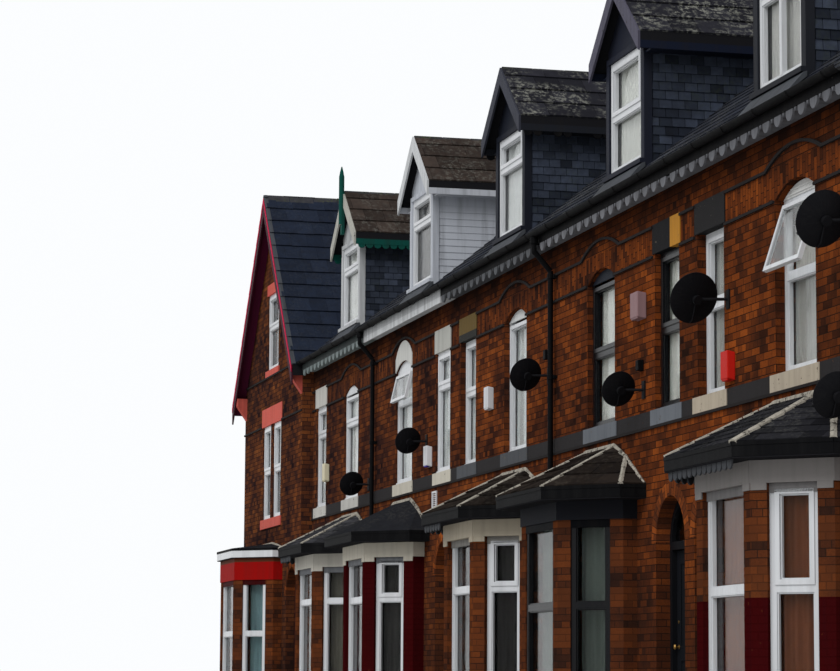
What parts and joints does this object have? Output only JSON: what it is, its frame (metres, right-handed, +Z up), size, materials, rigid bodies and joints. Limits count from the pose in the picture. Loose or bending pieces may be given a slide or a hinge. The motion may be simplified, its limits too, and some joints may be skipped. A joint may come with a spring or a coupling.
{
  "type": "terraced house row",
  "caption": "Row of brick terraced houses with canted ground-floor bays, arched paired front doors, roof dormers and a gabled end house; the front doors open inwards",
  "frame": {"origin": "on the ground, under the party wall between the second and third terrace houses, halfway between the front and rear walls", "axes": "+X along the row towards its near end, the street front faces -Y, +Z up"},
  "size_m": [30.966, 9.441, 10.1734],
  "materials": {
    "brick": "rough",
    "painted_brick": "rough",
    "painted_stone": "satin",
    "black_stone": "satin",
    "step_stone": "rough",
    "roof_tile": "rough",
    "bay_tile": "rough",
    "slate": "rough",
    "floor_timber": "matte",
    "white_frame": "gloss",
    "painted_board": "satin",
    "red_board": "satin",
    "front_door": "satin",
    "black_pipe": "satin",
    "dish_metal": "matte",
    "dark_frame": "satin",
    "hinge_metal": "satin",
    "alarm_box": "satin",
    "window_glass": "clear"
  },
  "bodies": {
    "building": {"alarm_boxes": "alarm_box", "attic_floors": "floor_timber", "bay_floors": "floor_timber", "bay_lintels": "painted_stone", "bay_piers": "painted_brick", "bay_roofs": "bay_tile", "bay_sills": "painted_stone", "bay_walls": "brick", "bay_window_frames": "white_frame", "door_arches": "brick", "door_hinges": "hinge_metal", "door_jambs": "dark_frame", "door_steps": "step_stone", "dormer_bargeboards": "painted_board", "dormer_cheeks": "slate", "dormer_eaves": "painted_board", "dormer_fronts": "painted_board", "dormer_roofs": "bay_tile", "downpipes": "black_pipe", "eaves_boards": "painted_board", "end_wall_far": "brick", "end_wall_near": "brick", "fanlight_frames": "dark_frame", "first_floors": "floor_timber", "front_wall_a": "brick", "front_wall_b": "brick", "front_wall_c": "brick", "front_wall_d": "brick", "front_wall_e": "brick", "front_wall_f": "brick", "front_wall_heads": "brick", "front_wall_piers": "brick", "gable_bargeboards": "red_board", "gable_kneelers": "red_board", "gable_roof_left": "roof_tile", "gable_roof_right": "roof_tile", "ground_floors": "floor_timber", "gutters": "black_pipe", "hood_mould": "black_stone", "main_roof_front": "roof_tile", "main_roof_rear": "roof_tile", "open_casements": "white_frame", "party_walls": "brick", "rear_wall_a": "brick", "rear_wall_lower": "brick", "rear_wall_upper": "brick", "ridge_tiles": "roof_tile", "satellite_dishes": "dish_metal", "sill_band": "black_stone", "string_courses": "black_stone", "window_frames": "white_frame", "window_glass": "window_glass", "window_lintels": "painted_stone", "window_sills": "painted_stone"},
    "door_a": {"front_door_a": "front_door"},
    "door_b": {"front_door_b": "front_door"},
    "door_c": {"front_door_c": "front_door"},
    "door_d": {"front_door_d": "front_door"},
    "door_e": {"front_door_e": "front_door"},
    "door_f": {"front_door_f": "front_door"}
  },
  "joints": [
    {"name": "door_a_hinge", "type": "hinge", "parent": "building", "child": "door_a", "pos_m": [-10.398, -3.93, 0.6], "axis": [0, 0, -1], "range_deg": [0, 90]},
    {"name": "door_b_hinge", "type": "hinge", "parent": "building", "child": "door_b", "pos_m": [-9.762, -3.73, 0.6], "axis": [0, 0, 1], "range_deg": [0, 90]},
    {"name": "door_c_hinge", "type": "hinge", "parent": "building", "child": "door_c", "pos_m": [-0.238, -3.73, 0.6], "axis": [0, 0, -1], "range_deg": [0, 90]},
    {"name": "door_d_hinge", "type": "hinge", "parent": "building", "child": "door_d", "pos_m": [0.238, -3.73, 0.6], "axis": [0, 0, 1], "range_deg": [0, 90]},
    {"name": "door_e_hinge", "type": "hinge", "parent": "building", "child": "door_e", "pos_m": [9.762, -3.73, 0.6], "axis": [0, 0, -1], "range_deg": [0, 90]},
    {"name": "door_f_hinge", "type": "hinge", "parent": "building", "child": "door_f", "pos_m": [10.238, -3.73, 0.6], "axis": [0, 0, 1], "range_deg": [0, 90]}
  ]
}
